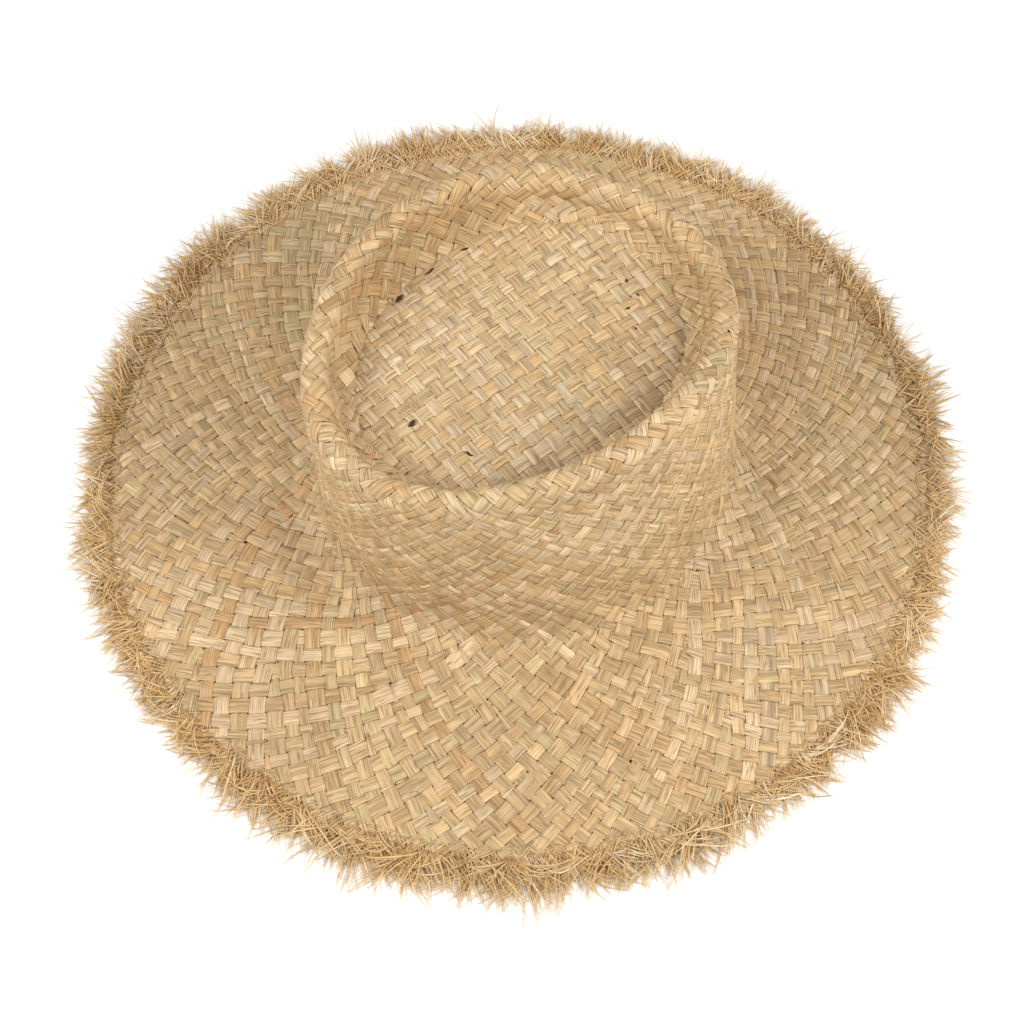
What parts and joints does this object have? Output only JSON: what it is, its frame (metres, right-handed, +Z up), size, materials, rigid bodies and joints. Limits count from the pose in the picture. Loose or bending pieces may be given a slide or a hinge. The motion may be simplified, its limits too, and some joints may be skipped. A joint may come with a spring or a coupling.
{
  "type": "straw sun hat",
  "caption": "Wide-brimmed woven raffia sun hat with an oval crown, a dented crown tip, a frayed brim edge and a ribbon sweatband.",
  "frame": {"origin": "middle of the hat's outline on the surface it rests on, at the height of the brim's edge", "axes": "+Z up through the crown; the head's long axis is Y, with the front at -Y and the back at +Y; +X is the wearer's left"},
  "size_m": [0.4018, 0.4038, 0.1315],
  "materials": {
    "straw": "woven raffia, dry, softly glossy fibres",
    "frayed_straw": "shredded raffia ends, dry, golden",
    "ribbon": "ribbed grosgrain, matte",
    "thread": "twisted sewing thread, satin",
    "label_cloth": "fine woven label cloth, matte"
  },
  "bodies": {
    "root": {"brim": "straw", "crown_side": "straw", "crown_tip": "straw", "fringe_01": "frayed_straw", "fringe_02": "frayed_straw", "fringe_03": "frayed_straw", "fringe_04": "frayed_straw", "fringe_05": "frayed_straw", "fringe_06": "frayed_straw", "fringe_07": "frayed_straw", "fringe_08": "frayed_straw", "fringe_09": "frayed_straw", "fringe_10": "frayed_straw", "fringe_11": "frayed_straw", "fringe_12": "frayed_straw", "fringe_13": "frayed_straw", "fringe_14": "frayed_straw", "fringe_15": "frayed_straw", "fringe_16": "frayed_straw", "fringe_17": "frayed_straw", "fringe_18": "frayed_straw", "fringe_19": "frayed_straw", "fringe_20": "frayed_straw", "fringe_21": "frayed_straw", "fringe_22": "frayed_straw", "fringe_23": "frayed_straw", "fringe_24": "frayed_straw", "brim_edge_stitches": "thread", "sweatband": "ribbon", "sweatband_stitches": "thread", "sweatband_join": "ribbon", "size_label": "label_cloth", "care_label": "label_cloth"}
  },
  "joints": []
}
